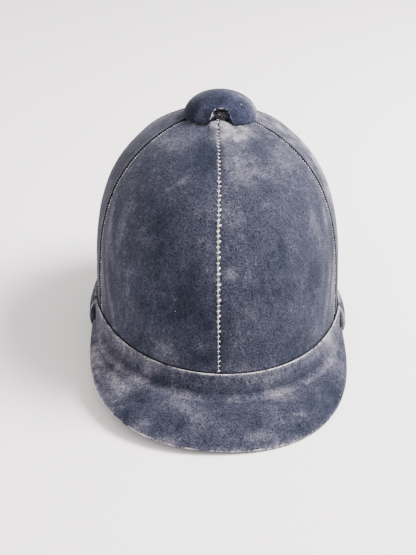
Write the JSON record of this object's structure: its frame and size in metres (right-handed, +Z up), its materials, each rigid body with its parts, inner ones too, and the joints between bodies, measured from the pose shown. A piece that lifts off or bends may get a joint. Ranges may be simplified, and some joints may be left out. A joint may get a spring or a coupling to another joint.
{
  "type": "riding cap",
  "caption": "Tall domed velvet riding cap with sewn crown panels, a padded top button with a vent notch, a sloping peak with a flange and a rolled rim band.",
  "frame": {"origin": "on the ground under the middle of the cap's bounding box, as the cap stands on its peak and its back rim", "axes": "+Z up, -Y towards the peak (the cap's front), +X towards the wearer's left"},
  "size_m": [0.1844, 0.2676, 0.1691],
  "materials": {
    "crown_velvet": "worn slate-blue velvet",
    "button_velvet": "slate-blue velvet, darker and less worn",
    "peak_velvet": "slate-blue velvet, scuffed pale along its edges",
    "band_velvet": "slate-blue velvet, rolled"
  },
  "bodies": {
    "root": {"front_left_panel": "crown_velvet", "front_right_panel": "crown_velvet", "side_left_panel": "crown_velvet", "side_right_panel": "crown_velvet", "back_left_panel": "crown_velvet", "back_right_panel": "crown_velvet", "top_button": "button_velvet", "peak": "peak_velvet", "rim_band": "band_velvet"}
  },
  "joints": []
}
